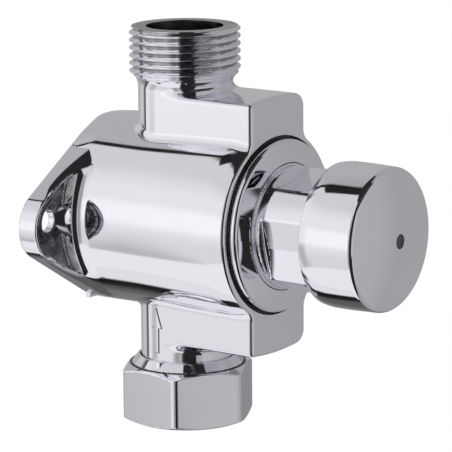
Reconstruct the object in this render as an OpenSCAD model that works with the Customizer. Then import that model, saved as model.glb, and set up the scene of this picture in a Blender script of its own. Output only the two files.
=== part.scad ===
// Push timed tap, straight pattern, for wall mounting.
// The wall is the plane Y = 0 and the tap stands out of it towards -Y, with +Z up.
// The origin is on the tap's axis, midway between the two screw holes.
// Depths are distances from the wall, along the tap's axis.

/* [Casting] */
// Radius of the round barrel
barrel_r = 22.9; // [22:0.1:26]
// Depth of the milled front face
front_depth = 50; // [48:0.5:56]
// Thickness left behind the bores, against the wall
back_wall = 4; // [3:0.5:5]
// Depth of the upright pipe's axis
pipe_depth = 23.1; // [21:0.1:26]
// Outer radius of the upright pipe
pipe_r = 11.2; // [11.1:0.05:11.8]
// Width of the block between its flat sides
block_w = 22; // [20:0.1:22.1]
// Height of the block's crown above the tap's axis
block_crown = 30.6; // [28:0.1:33]
// Radius of the arched top and bottom of the block
block_arch_r = 76; // [60:1:120]
// Corner radius on the far side of the block
block_corner_r = 3; // [1:0.5:4]
// Chamfer on the rims of the casting
rim_chamfer = 0.4; // [0.2:0.1:0.8]

/* [Wall flange] */
// Distance between the two screw holes
hole_spacing = 53; // [50:0.5:60]
// Radius of the rounded ears
ear_r = 8.5; // [8:0.25:10]
// Radius of the flange's middle, where its straight sides start
flange_hub_r = 22.3; // [20:0.1:24]
// Thickness of the flange
flange_t = 5.2; // [4.5:0.1:6.5]
// Width of the rim left round the pockets
pocket_rim = 1.1; // [0.8:0.1:1.6]
// Depth of the pockets
pocket_deep = 1.3; // [0.5:0.1:2.5]
// Width left between the pockets and the barrel
pocket_land = 1.1; // [1:0.1:3]
// Radius of the hollow that sweeps the flange up to the barrel
sweep_r = 5; // [2:0.5:6]
// Radius of the screw holes
screw_hole_r = 2.6; // [2:0.1:3]
// Radius of the countersinks
countersink_r = 4.4; // [4:0.1:5.5]

/* [Outlet] */
// Height of the outlet's end above the tap's axis
outlet_top = 45.15; // [43:0.05:50]
// Outer radius of the outlet's pipe thread
thread_r = 13.22; // [12.8:0.01:14]
// Pitch of the outlet's pipe thread
thread_pitch = 1.814; // [1.5:0.001:2.2]
// Depth of the thread's grooves
thread_deep = 1.16; // [0.8:0.01:1.2]
// Length of the outlet's thread
thread_len = 10.3; // [8:0.1:12]
// Chamfer at the thread's end
thread_chamfer = 0.6; // [0.3:0.1:1]
// Radius of the outlet's bore
outlet_bore_r = 9.2; // [8:0.1:10]
// Wall between the outlet's bore and the chamber behind the seat
outlet_floor = 4.5; // [3:0.5:6]

/* [Inlet and union nut] */
// Depth of the tail's end below the tap's axis
tail_end = 41.2; // [41:0.1:44]
// Radius of the inlet's bore
inlet_bore_r = 6.2; // [5:0.1:6.3]
// Radius of the strainer's seat in the mouth of the tail
strainer_r = 8; // [7.5:0.1:9]
// Distance across the flats of the union nut
nut_across = 28.8; // [28.6:0.1:34]
// Depth of the nut's upper face below the tap's axis
nut_top = 36.3; // [35.5:0.1:38]
// Length of the union nut
nut_len = 13.9; // [13:0.1:18]
// Angle of the nut's flats, turned about its axis
nut_turn = 24.9; // [0:0.1:60]
// Radius of the round land on the nut's upper face
nut_land_r = 13.7; // [13:0.1:14.2]
// Height of the cone that rises from the nut's upper face to the tail
nut_cone = 2.1; // [1:0.1:2.5]
// Height of the nut's end chamfers at the corners
nut_chamfer = 1.25; // [0.6:0.05:2]
// Radius of the nut's threaded hole, to the crests
nut_bore_r = 12.06; // [12:0.01:13]
// Thickness of the nut's inner collar
nut_collar = 2.5; // [2:0.1:2.8]
// Clearance between the nut and the tail
nut_clear = 0.3; // [0.15:0.05:0.4]
// Wire diameter of the union retaining ring
union_wire = 1.3; // [1:0.1:1.5]
// Thickness of the union washer
washer_t = 1.8; // [1.5:0.1:2.5]

/* [Locking ring and head] */
// Outer radius of the locking ring
ring_r = 20.4; // [19:0.1:21.5]
// Height of the ring's outer edge above the front face
ring_edge = 1.8; // [1.2:0.1:2.4]
// Height of the ring's inner edge above the front face
ring_crown = 2.8; // [2:0.1:3.5]
// Width of the groove that shows round the ring in the front face
ring_groove_w = 0.8; // [0.4:0.1:1.2]
// Depth of the groove round the ring
ring_groove_deep = 0.8; // [0.4:0.1:1.2]
// Radius of the cartridge head where it is round
head_r = 14.5; // [14:0.05:15]
// Distance across the head's wrench flats
head_flats = 25.4; // [25:0.1:28]
// Angle of the head's wrench flats, turned about the tap's axis
head_turn = 12; // [0:1:45]
// Gap between the ring and the flats' shoulders
shoulder_gap = 1.6; // [1:0.1:3]
// Radius of the head's thread in the body
head_thread_r = 15.85; // [15:0.05:16.5]
// Length of the head's thread, from the front face to its gasket's seat
head_thread_len = 8; // [6:0.5:9]
// Thickness of the head gasket
gasket_t = 1; // [0.8:0.1:1.5]
// Clearance of pieces that are screwed or pushed together
fit = 0.05; // [0.02:0.01:0.1]

/* [Push button] */
// Outer radius of the button
button_r = 17.05; // [17:0.05:19]
// Depth of the rim of the button's face
button_rim = 80.9; // [80.5:0.1:84]
// Height of the domed face
dome_rise = 2.7; // [1:0.1:4]
// Radius of the button's rounded rear shoulder
button_shoulder_r = 14.6; // [10:0.1:16]
// Length of the button's side, from its rim to its rear edge
button_len = 14.3; // [13.5:0.1:17]
// Length of the straight stretch of the button's side
button_straight = 10.7; // [9:0.1:12]
// Thickness of the button's face at its rim
button_face_t = 2.9; // [2:0.1:4]
// Clearance between the button and the head
button_clear = 0.45; // [0.35:0.05:0.5]
// Stroke of the button
stroke = 7; // [4:0.5:7.5]
// Radius of the plug in the middle of the face
plug_r = 1.7; // [1.5:0.1:2.5]

/* [Stem and valve] */
// Radius of the stem
stem_r = 3; // [2.5:0.1:3.5]
// Running clearance between the stem and its bush
stem_clear = 0.04; // [0.02:0.01:0.08]
// Radius of the hole through the valve seat
seat_hole_r = 6.5; // [6:0.1:7]
// Length of the chamber between the valve seat and the head
chamber_len = 7.5; // [7:0.1:9]
// Thickness of the valve seat
seat_t = 5; // [4.5:0.1:6]
// Height of the lip that the washer closes on
seat_lip = 0.4; // [0.2:0.1:0.8]
// Radius of the valve disc
disc_r = 8.6; // [8.3:0.1:9]
// Thickness of the rubber washer on the valve disc
disc_washer_t = 1.8; // [1.2:0.1:2.5]
// Inner radius of the timing cylinder
cup_r = 9.4; // [9.3:0.05:9.8]
// Wall thickness of the timing cylinder
cup_wall = 1.4; // [1:0.1:1.5]
// Gap left between the piston nut and the cup's floor at full stroke
floor_gap = 0.4; // [0.3:0.1:1]
// Radial gap between the piston and the cup
piston_gap = 0.35; // [0.3:0.05:0.5]
// Wire diameter of the return spring
spring_wire = 1.4; // [1:0.1:1.6]
// Number of turns of the return spring
spring_turns = 8; // [6:1:9]

/* [Hidden] */
$fn = 96;

chrome = [0.82, 0.83, 0.85];
brass = [0.78, 0.64, 0.33];
steel = [0.68, 0.69, 0.70];
rubber = [0.12, 0.12, 0.13];
plastic = [0.88, 0.87, 0.82];
over = 1;

// Depths and radii inside the casting, from the front inwards
head_bore_r = head_thread_r + fit;
head_seat = front_depth - head_thread_len;
gasket_w = 2.35;
front_chamber_r = head_thread_r - gasket_w;
cage_wall = 1.5;
seat_r = front_chamber_r - cage_wall;
seat_front = head_seat - chamber_len;
seat_rest = seat_front - seat_t;
cup_outer_r = cup_r + cup_wall;
rear_chamber_r = cup_outer_r + 2 * fit;
cup_back = back_wall + fit;
port_r = 3.2;
port_depth = (seat_front + head_seat) / 2;
channel_r = 3.8;
channel_wall = 3.2;
channel_z = front_chamber_r + channel_wall + channel_r;
channel_end = 0.5;
channel_front = port_depth + port_r + channel_end;
outlet_floor_z = rear_chamber_r + outlet_floor;
thread_turns = floor((thread_len - thread_chamfer) / thread_pitch);
ring_gasket_step = 0.9;
gasket_inner_r = head_thread_r + ring_gasket_step;
ring_gasket_edge = 1.2;
gasket_outer_r = ring_r - ring_gasket_edge;
gasket_recess = 0.8;
ring_groove_lap = 0.2;
strainer_seat = 2.4;

block_start = 1.5;
block_back = pipe_depth + block_start;

// Union nut and tail
nut_corner_r = nut_across / 2 / cos(30);
nut_bottom = nut_top + nut_len;
collar_z = nut_top + nut_collar;
groove_z = collar_z + union_wire / 2 + nut_clear;
groove_deep = union_wire * 0.55;
ring_mean_r = pipe_r - groove_deep + union_wire / 2 + fit;

// Cartridge head, from its seal outwards
head_back = head_seat + gasket_t;
seal_bore_r = 6.5;
seal_t = 1.5;
retainer_t = 0.8;
seal_one = head_back + retainer_t + fit;
seal_two = seal_one + seal_t + 2 * fit;
seal_floor = seal_two + seal_t + fit;
bush_r = 6;
bush_flange_t = 1.2;
head_web = 0.9;
bush_bore_start = seal_floor + head_web;
spring_floor = front_depth;
head_cavity_r = 10.5;
button_roof = button_rim - button_face_t;
end_gap = 1;
head_end = button_roof - stroke - end_gap;
ring_front = front_depth + ring_crown;
land_step = 0.4;
head_land_r = head_r + land_step;
ring_hole_r = head_land_r + 2 * fit;
shoulder_depth = ring_front + shoulder_gap;

// Push button
button_bore_r = head_r + button_clear;
button_rear = button_rim - button_len;
shoulder_start = button_rim - button_straight;
dome_tip = button_rim + dome_rise;
rim_edge = 0.35;
face_rim_r = button_r - rim_edge;
dome_r = (face_rim_r * face_rim_r + dome_rise * dome_rise) / (2 * dome_rise);
hub_r = 5.5;
hub_len = 7;
hub_end = button_roof - hub_len;
stem_drop = 0.6;
stem_front = button_roof - stem_drop;
screw_r = 1.25;
screw_head_r = plug_r - fit;
screw_head_t = 1.6;
screw_wall = 1.4;
screw_seat = button_roof + screw_wall;
screw_len = 6;
screw_end = stem_front - screw_len;

// Valve and timing piston
oring_wire_r = 0.65;
oring_groove_deep = 2 * oring_wire_r + fit;
oring_groove_w = 2 * oring_wire_r + 0.2;
oring_edge = 1.6;
oring_groove_back = seat_rest + oring_edge;
washer_front = seat_rest - seat_lip;
disc_front = washer_front - disc_washer_t;
disc_t = 3;
cup_floor_t = 1.4;
cup_floor = cup_back + cup_floor_t;
piston_nut_t = 1.6;
stem_back = cup_floor + floor_gap + stroke;
piston_back = stem_back + piston_nut_t;
piston_t = 3;
piston_front = piston_back + piston_t;
piston_r = cup_r - piston_gap;
piston_groove_deep = 1.4;
piston_groove_w = 1.4;
piston_land = 0.9;
piston_groove_r = piston_r - piston_groove_deep;
piston_groove_back = piston_back + piston_land;
piston_groove_front = piston_groove_back + piston_groove_w;
stem_tail_r = 2.2;
cup_lip = 0.5;
cup_front = piston_front + cup_lip;
circlip_t = 0.8;
circlip_w = 1.6;
circlip_r = stem_r + circlip_w;
stem_groove_deep = 0.5;
stem_groove_r = stem_r - stem_groove_deep;
circlip_gap = 0.1;
circlip_back = spring_floor + bush_flange_t + stroke + circlip_gap;

// Return spring
spring_back = spring_floor + bush_flange_t + fit;
spring_front = button_roof - fit;
spring_offset = 0.4;
spring_mean_r = (hub_r + head_cavity_r) / 2 + spring_offset;
spring_sides = 6;
spring_rings = 12;

// Places a child so that its own Z runs out of the wall along the tap's axis
module on_axis(depth = 0) {
    translate([0, -depth, 0])
        rotate([90, 0, 0])
            children();
}

// A ring between two radii, from one depth to another on the tap's axis
module axis_ring(inner_r, outer_r, back, front) {
    on_axis(back)
        difference() {
            cylinder(r = outer_r, h = front - back);
            translate([0, 0, -over])
                cylinder(r = inner_r, h = front - back + 2 * over);
        }
}

// A plain hole along the tap's axis, open at both ends of the given stretch
module axis_hole(radius, back, front) {
    on_axis(back)
        cylinder(r = radius, h = front - back);
}

// A solid of revolution about the tap's axis, from points of radius and depth
module axis_turned(points) {
    on_axis()
        rotate_extrude()
            polygon(points);
}

// The outline of the wall flange, drawn in by the given width
module flange_outline(inset = 0) {
    ear_x = hole_spacing / 2;
    hub = flange_hub_r - inset;
    ear = ear_r - inset;
    lean = acos((hub - ear) / ear_x);
    circle(r = hub);
    for (side = [-1, 1]) {
        translate([side * ear_x, 0])
            circle(r = ear);
        polygon([
            [0, 0],
            [side * hub * cos(lean), hub * sin(lean)],
            [side * (ear_x + ear * cos(lean)), ear * sin(lean)],
            [side * (ear_x + ear * cos(lean)), -ear * sin(lean)],
            [side * hub * cos(lean), -hub * sin(lean)]
        ]);
    }
}

// The hollow sweep from the flange up to the barrel.
// Its arc is a hair wide, so that it crosses both faces and isn't tangent to them.
module flange_sweep() {
    steps = 8;
    wide = 0.03;
    centre_r = barrel_r + sweep_r;
    centre_depth = flange_t + sweep_r;
    reach = sweep_r + wide;
    intersection() {
        linear_extrude(centre_depth + over)
            flange_outline();
        rotate_extrude()
            polygon(concat(
                [
                    [barrel_r - over, centre_depth],
                    [barrel_r - over, flange_t - over],
                    [centre_r, flange_t - over]
                ],
                [
                    for (i = [0:steps])
                        let (turn = 270 - 90 * i / steps)
                        [centre_r + reach * cos(turn), centre_depth + reach * sin(turn)]
                ]
            ));
    }
}

// The flange with a pocket and a countersunk hole in each ear
module flange() {
    floor_depth = flange_t - pocket_deep;
    on_axis()
        difference() {
            union() {
                linear_extrude(flange_t)
                    flange_outline();
                flange_sweep();
            }
            translate([0, 0, floor_depth])
                linear_extrude(pocket_deep + sweep_r + over)
                    difference() {
                        flange_outline(pocket_rim);
                        circle(r = barrel_r + pocket_land);
                    }
            for (side = [-1, 1])
                translate([side * hole_spacing / 2, 0, 0]) {
                    translate([0, 0, -over])
                        cylinder(r = screw_hole_r, h = flange_t + 2 * over);
                    translate([0, 0, floor_depth - (countersink_r - screw_hole_r)])
                        cylinder(
                            r1 = screw_hole_r,
                            r2 = countersink_r,
                            h = countersink_r - screw_hole_r
                        );
                }
        }
}

// The small lug at the back of the flange's lower edge, on the near side
module flange_lug() {
    lug_x = -10.3;
    lug_w = 6;
    lug_z = -21.7;
    lug_h = 4;
    lug_t = 1.5;
    translate([lug_x, -lug_t, lug_z])
        cube([lug_w, lug_t, lug_h]);
}

// The round barrel, chamfered at its front rim and at the wall
module barrel() {
    axis_turned([
        [0, 0],
        [barrel_r - rim_chamfer, 0],
        [barrel_r, rim_chamfer],
        [barrel_r, front_depth - rim_chamfer],
        [barrel_r - rim_chamfer, front_depth],
        [0, front_depth]
    ]);
}

// The far corner that is cut off the block's outline, at the top.
// The rounding stands a hair proud, so that it crosses the sides and isn't tangent to them.
module block_corner() {
    corner_x = block_w / 2 - block_corner_r;
    reach = block_arch_r - block_corner_r;
    corner_z = block_crown - block_arch_r + sqrt(reach * reach - corner_x * corner_x);
    lean = asin(corner_x / reach);
    far = 3 * block_corner_r;
    proud = 0.03;
    difference() {
        translate([corner_x, corner_z])
            polygon([
                [0, 0],
                [far, 0],
                [far, far],
                [far * tan(lean), far]
            ]);
        translate([corner_x, corner_z])
            circle(r = block_corner_r + proud);
    }
}

// The block's front outline: straight sides, arched ends, rounded far corners
module block_outline() {
    difference() {
        intersection() {
            square([block_w, 2 * block_crown + over], center = true);
            translate([0, block_crown - block_arch_r])
                circle(r = block_arch_r, $fn = 360);
            translate([0, block_arch_r - block_crown])
                circle(r = block_arch_r, $fn = 360);
        }
        block_corner();
        mirror([0, 1])
            block_corner();
    }
}

// The block, from inside the pipe to the front face
module block() {
    on_axis(block_back)
        linear_extrude(front_depth - block_back)
            block_outline();
}

// The crests and grooves of the outlet's thread, from its inner end upwards
function thread_points(start, crest, flank) = [
    for (i = [0:thread_turns - 1])
        let (base = start + crest + i * thread_pitch)
        each [
            [thread_r, base],
            [thread_r - thread_deep, base + flank],
            [thread_r - thread_deep, base + flank + crest],
            [thread_r, base + 2 * flank + crest]
        ]
];

// The upright pipe: tail with the union ring's groove, neck, thread, chamfered end
module upright_pipe() {
    thread_start = outlet_top - thread_len;
    crest = thread_pitch / 8;
    flank = thread_pitch / 2 - crest;
    groove_half = union_wire / 2 + fit;
    translate([0, -pipe_depth, 0])
        rotate_extrude()
            polygon(concat(
                [
                    [0, -tail_end],
                    [pipe_r, -tail_end],
                    [pipe_r, -groove_z - groove_half],
                    [pipe_r - groove_deep, -groove_z - groove_half],
                    [pipe_r - groove_deep, -groove_z + groove_half],
                    [pipe_r, -groove_z + groove_half],
                    [pipe_r, thread_start - (thread_r - pipe_r)],
                    [thread_r, thread_start]
                ],
                thread_points(thread_start, crest, flank),
                [
                    [thread_r, outlet_top - thread_chamfer],
                    [thread_r - thread_chamfer, outlet_top],
                    [0, outlet_top]
                ]
            ));
}

// The raised flow arrow on the tail's near side, turned a little towards the wall
module flow_arrow() {
    arrow_bottom = -31.9;
    arrow_len = 10.5;
    head_len = 4.5;
    head_half = 1.45;
    shaft_half = 0.6;
    relief = 0.25;
    turn = 15.6;
    translate([0, -pipe_depth, arrow_bottom])
        rotate([0, 0, -turn])
            translate([-pipe_r - relief, 0, 0])
                rotate([90, 0, 90])
                    linear_extrude(1)
                        polygon([
                            [-shaft_half, 0],
                            [shaft_half, 0],
                            [shaft_half, arrow_len - head_len],
                            [head_half, arrow_len - head_len],
                            [0, arrow_len],
                            [-head_half, arrow_len - head_len],
                            [-shaft_half, arrow_len - head_len]
                        ]);
}

// The stepped bores on the tap's axis, and the ring-shaped grooves in the front face
module axis_bores() {
    axis_hole(head_bore_r, head_seat, front_depth + over);
    axis_hole(front_chamber_r, seat_front, head_seat + over);
    axis_hole(seat_r, seat_rest, seat_front + over);
    axis_hole(rear_chamber_r, back_wall, seat_rest + over);
    axis_ring(gasket_inner_r, gasket_outer_r, front_depth - gasket_recess, front_depth + over);
    axis_ring(
        ring_r - ring_groove_lap,
        ring_r + ring_groove_w,
        front_depth - ring_groove_deep,
        front_depth + over
    );
}

// The waterways: inlet from below, port and channel above, outlet
module waterways() {
    translate([0, -pipe_depth, -tail_end - over])
        cylinder(r = inlet_bore_r, h = tail_end + over);
    translate([0, -pipe_depth, -tail_end - over])
        cylinder(r = strainer_r, h = strainer_seat + over);
    translate([0, -port_depth, 0])
        cylinder(r = port_r, h = channel_z);
    translate([0, 0, channel_z])
        axis_hole(channel_r, pipe_depth, channel_front);
    translate([0, -pipe_depth, outlet_floor_z])
        cylinder(r = outlet_bore_r, h = outlet_top - outlet_floor_z + over);
}

// The plated casting
module body() {
    color(chrome)
        difference() {
            union() {
                flange();
                flange_lug();
                barrel();
                block();
                upright_pipe();
                flow_arrow();
            }
            axis_bores();
            waterways();
        }
}

// The conical ring that locks the cartridge head on the front face
module locking_ring() {
    chamfer = 0.3;
    color(chrome)
        axis_turned([
            [ring_hole_r, front_depth],
            [ring_r, front_depth],
            [ring_r, front_depth + ring_edge - chamfer],
            [ring_r - chamfer, front_depth + ring_edge],
            [ring_hole_r + chamfer, ring_front],
            [ring_hole_r, ring_front - chamfer]
        ]);
}

module ring_gasket() {
    color(rubber)
        axis_ring(gasket_inner_r + fit, gasket_outer_r - fit, front_depth - gasket_recess, front_depth);
}

module head_gasket() {
    color(rubber)
        axis_ring(front_chamber_r, head_bore_r - fit, head_seat, head_back);
}

// The wrench flats: everything outside the square of flats, in front of the shoulder
module head_flat_cuts() {
    for (turn = [0:90:270])
        on_axis(shoulder_depth)
            rotate([0, 0, head_turn + turn])
                translate([head_flats / 2, -head_r - over, 0])
                    cube([head_r, 2 * (head_r + over), head_end]);
}

// The cartridge head: thread, round land, neck with wrench flats, spring recess
module cartridge_head() {
    chamfer = 0.4;
    color(chrome)
        difference() {
            axis_turned([
                [0, head_back],
                [head_thread_r - chamfer, head_back],
                [head_thread_r, head_back + chamfer],
                [head_thread_r, front_depth - fit],
                [head_land_r, front_depth - fit],
                [head_land_r, ring_front - chamfer],
                [head_r, ring_front],
                [head_r, head_end - chamfer],
                [head_r - chamfer, head_end],
                [0, head_end]
            ]);
            head_flat_cuts();
            axis_hole(seal_bore_r, head_back - over, seal_floor);
            axis_hole(stem_r + stem_clear, seal_floor - over, bush_bore_start + over);
            axis_hole(bush_r, bush_bore_start, spring_floor + over);
            axis_hole(head_cavity_r, spring_floor, head_end + over);
        }
}

// The windowed sleeve that clamps the valve seat
module spacer_cage() {
    back = seat_front;
    front = head_seat + gasket_t;
    window_clear = 0.4;
    window_w = 2 * port_r + window_clear;
    color(brass)
        difference() {
            axis_ring(seat_r, front_chamber_r - fit, back, front);
            for (turn = [0, 90])
                on_axis(port_depth)
                    rotate([0, 0, turn])
                        translate([-window_w / 2, -front_chamber_r - over, -port_r])
                            cube([window_w, 2 * (front_chamber_r + over), 2 * port_r]);
        }
}

// The loose brass seat with its lip and the groove for its o-ring
module valve_seat() {
    groove_front = oring_groove_back + oring_groove_w;
    groove_r = seat_r - oring_groove_deep;
    lip_w = 0.8;
    lip_r = seat_hole_r + lip_w;
    color(brass)
        axis_turned([
            [seat_hole_r, washer_front],
            [lip_r, washer_front],
            [lip_r + seat_lip, seat_rest],
            [seat_r - fit, seat_rest],
            [seat_r - fit, oring_groove_back],
            [groove_r, oring_groove_back],
            [groove_r, groove_front],
            [seat_r - fit, groove_front],
            [seat_r - fit, seat_front],
            [seat_hole_r, seat_front]
        ]);
}

module seat_oring() {
    color(rubber)
        on_axis(oring_groove_back + oring_groove_w / 2)
            rotate_extrude()
                translate([seat_r - fit - oring_wire_r, 0])
                    circle(r = oring_wire_r, $fn = 32);
}

// The timing cylinder: a cup that opens forwards, with legs up to the seat
module timing_cylinder() {
    leg_turns = [30, 150, 225, 315];
    bleed_r = 0.6;
    leg_w = 3;
    color(plastic)
        difference() {
            axis_ring(bleed_r, cup_outer_r, cup_back, seat_rest);
            axis_hole(cup_r, cup_floor, seat_rest + over);
            difference() {
                axis_hole(cup_outer_r + over, cup_front, seat_rest + over);
                for (turn = leg_turns)
                    on_axis(cup_front - over)
                        rotate([0, 0, turn])
                            translate([0, -leg_w / 2, 0])
                                cube([cup_outer_r + 2 * over, leg_w, seat_rest]);
            }
        }
}

module guide_bush() {
    color(plastic)
        axis_turned([
            [stem_r + stem_clear, bush_bore_start],
            [bush_r - fit, bush_bore_start],
            [bush_r - fit, spring_floor],
            [head_cavity_r - fit, spring_floor],
            [head_cavity_r - fit, spring_floor + bush_flange_t],
            [stem_r + stem_clear, spring_floor + bush_flange_t]
        ]);
}

// A stem seal: a rubber ring with a groove in its back face that makes the lip
module stem_seal(back) {
    groove_deep = seal_t * 0.5;
    groove_start = 0.9;
    groove_w = 0.7;
    slope = 0.4;
    color(rubber)
        axis_turned([
            [stem_r + stem_clear, back],
            [stem_r + groove_start, back],
            [stem_r + groove_start + slope, back + groove_deep],
            [stem_r + groove_start + slope + groove_w, back + groove_deep],
            [stem_r + groove_start + 2 * slope + groove_w, back],
            [seal_bore_r - fit, back],
            [seal_bore_r - fit, back + seal_t],
            [stem_r + stem_clear, back + seal_t]
        ]);
}

module rear_stem_seal() {
    stem_seal(seal_one);
}

module front_stem_seal() {
    stem_seal(seal_two);
}

module seal_retainer() {
    retainer_clear = 0.3;
    color(steel)
        axis_ring(stem_r + retainer_clear, seal_bore_r - fit, head_back, head_back + retainer_t);
}

// The wire ring that keeps the union nut on the tail, open at the back
module union_retaining_ring() {
    gap = 24;
    color(steel)
        translate([0, -pipe_depth, -groove_z])
            rotate([0, 0, 90 + gap / 2])
                rotate_extrude(angle = 360 - gap)
                    translate([ring_mean_r, 0])
                        circle(r = union_wire / 2, $fn = 24);
}

module union_washer() {
    rim = 0.6;
    color(rubber)
        translate([0, -pipe_depth, -tail_end - washer_t])
            difference() {
                cylinder(r = nut_bore_r - nut_clear, h = washer_t);
                translate([0, 0, -over])
                    cylinder(r = strainer_r - rim, h = washer_t + 2 * over);
            }
}

// The strainer: a rimmed plate with rings of small holes
module inlet_strainer() {
    plate_t = 0.6;
    hole_r = 0.55;
    row_step = 1.8;
    rim = 1;
    color(steel)
        translate([0, -pipe_depth, -tail_end])
            difference() {
                cylinder(r = strainer_r - fit, h = strainer_seat - fit);
                translate([0, 0, -over])
                    cylinder(r = strainer_r - rim, h = strainer_seat - fit - plate_t + over);
                for (row = [1:3])
                    for (i = [0:6 * row - 1])
                        rotate([0, 0, i * 60 / row])
                            translate([row * row_step, 0, 0])
                                cylinder(r = hole_r, h = strainer_seat + over, $fn = 16);
            }
}

// The union nut: hexagon with chamfered ends and a cone on top, threaded below its inner collar
module union_nut() {
    cone_wall = 0.4;
    cone_step = 0.2;
    cone_tip_r = pipe_r + nut_clear + cone_wall;
    mouth_chamfer = 0.8;
    relief = 0.34;
    relief_under = 0.2;
    relief_z = nut_bottom - tail_end - washer_t - relief_under;
    color(chrome)
        translate([0, -pipe_depth, -nut_bottom])
            rotate([0, 0, nut_turn])
                difference() {
                    union() {
                        intersection() {
                            cylinder(r = nut_corner_r, h = nut_len, $fn = 6);
                            rotate_extrude()
                                polygon([
                                    [0, 0],
                                    [nut_land_r, 0],
                                    [nut_corner_r, nut_chamfer],
                                    [nut_corner_r, nut_len - nut_chamfer],
                                    [nut_land_r, nut_len],
                                    [0, nut_len]
                                ]);
                        }
                        translate([0, 0, nut_len])
                            cylinder(r1 = nut_land_r - cone_step, r2 = cone_tip_r, h = nut_cone);
                    }
                    translate([0, 0, -over])
                        cylinder(r = nut_bore_r, h = nut_len - nut_collar + over);
                    translate([0, 0, relief_z])
                        cylinder(r = nut_bore_r + relief, h = nut_len - nut_collar - relief_z);
                    translate([0, 0, nut_len - nut_collar - over])
                        cylinder(r = pipe_r + nut_clear, h = nut_collar + nut_cone + 2 * over);
                    translate([0, 0, -over])
                        cylinder(
                            r1 = nut_bore_r + mouth_chamfer + over,
                            r2 = nut_bore_r,
                            h = mouth_chamfer + over
                        );
                }
}

// The button's outline in radius and depth, without its bores
module button_profile() {
    shoulder_x = button_r - button_shoulder_r;
    difference() {
        intersection() {
            translate([0, button_rear])
                square([button_r, dome_tip - button_rear]);
            translate([0, dome_tip - dome_r])
                circle(r = dome_r, $fn = 360);
        }
        difference() {
            translate([shoulder_x, shoulder_start - button_shoulder_r])
                square([button_shoulder_r + over, button_shoulder_r]);
            translate([shoulder_x, shoulder_start])
                circle(r = button_shoulder_r);
        }
        polygon([
            [face_rim_r, button_rim],
            [button_r, button_rim - rim_edge],
            [button_r + over, button_rim - rim_edge],
            [button_r + over, button_rim + over],
            [face_rim_r, button_rim + over]
        ]);
    }
}

// The push button: domed cap, hub on the stem, hole for the screw and plug
module push_button() {
    color(chrome)
        difference() {
            on_axis()
                rotate_extrude()
                    button_profile();
            difference() {
                axis_hole(button_bore_r, button_rear - over, button_roof);
                axis_hole(hub_r, hub_end, button_roof + over);
            }
            axis_hole(stem_r + fit, hub_end - over, stem_front + fit);
            axis_hole(screw_r + fit, stem_front, screw_seat + over);
            axis_hole(plug_r, screw_seat, dome_tip + over);
        }
}

module button_plug() {
    sunk = 0.2;
    edge = 0.2;
    color(steel)
        axis_turned([
            [0, screw_seat + screw_head_t],
            [screw_head_r, screw_seat + screw_head_t],
            [screw_head_r, dome_tip - sunk - edge],
            [screw_head_r - edge, dome_tip - sunk],
            [0, dome_tip - sunk]
        ]);
}

// The screw that holds the button, with a slot in its head
module button_screw() {
    slot_w = 0.5;
    slot_deep = 0.6;
    color(steel)
        difference() {
            union() {
                axis_hole(screw_r, screw_end, screw_seat + over / 2);
                axis_hole(screw_head_r, screw_seat, screw_seat + screw_head_t - fit);
            }
            on_axis(screw_seat + screw_head_t - slot_deep)
                translate([-plug_r - over, -slot_w / 2, 0])
                    cube([2 * (plug_r + over), slot_w, slot_deep + over]);
        }
}

// The stem, stepped down at the rear and grooved for its circlip
module stem() {
    color(steel)
        difference() {
            axis_turned([
                [0, stem_back],
                [stem_tail_r, stem_back],
                [stem_tail_r, piston_front],
                [stem_r, piston_front],
                [stem_r, circlip_back - fit],
                [stem_groove_r, circlip_back - fit],
                [stem_groove_r, circlip_back + circlip_t + fit],
                [stem_r, circlip_back + circlip_t + fit],
                [stem_r, stem_front],
                [0, stem_front]
            ]);
            axis_hole(screw_r, screw_end, stem_front + over);
        }
}

// The snap ring that stops the stem at full stroke, open on one side
module stem_circlip() {
    gap = 1.8;
    color(steel)
        difference() {
            axis_ring(stem_groove_r, circlip_r, circlip_back, circlip_back + circlip_t);
            on_axis(circlip_back - over)
                translate([-gap / 2, 0, 0])
                    cube([gap, circlip_r + over, circlip_t + 2 * over]);
        }
}

// The brass carrier, with a rim that holds the washer
module valve_disc() {
    slope = 1;
    color(brass)
        axis_turned([
            [stem_r, disc_front - disc_t],
            [disc_r - slope, disc_front - disc_t],
            [disc_r, disc_front - disc_t + slope],
            [disc_r, disc_front],
            [stem_r, disc_front]
        ]);
}

module disc_washer() {
    rim = 0.2;
    color(rubber)
        axis_ring(stem_r + fit, disc_r - rim, disc_front, washer_front);
}

// The timing piston, grooved for its lip seal
module timing_piston() {
    color(plastic)
        axis_turned([
            [stem_tail_r, piston_back],
            [piston_r, piston_back],
            [piston_r, piston_groove_back],
            [piston_groove_r, piston_groove_back],
            [piston_groove_r, piston_groove_front],
            [piston_r, piston_groove_front],
            [piston_r, piston_front],
            [stem_tail_r, piston_front]
        ]);
}

// The lip seal: thin lip that runs on the cup's wall
module piston_lip_seal() {
    back = piston_groove_back;
    run_r = cup_r - stem_clear;
    toe = 0.2;
    lip_back = 0.25;
    lip_front = 0.6;
    heel_back = 0.8;
    heel_r = piston_r - 0.5;
    color(rubber)
        axis_turned([
            [piston_groove_r, back + fit],
            [piston_r - toe, back + fit],
            [run_r, back + lip_back],
            [run_r, back + lip_front],
            [heel_r, back + heel_back],
            [heel_r, piston_groove_front - fit],
            [piston_groove_r, piston_groove_front - fit]
        ]);
}

module piston_nut() {
    corner_r = 4.4;
    color(brass)
        on_axis(stem_back)
            difference() {
                cylinder(r = corner_r, h = piston_nut_t, $fn = 6);
                translate([0, 0, -over])
                    cylinder(r = stem_tail_r, h = piston_nut_t + 2 * over);
            }
}

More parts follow.
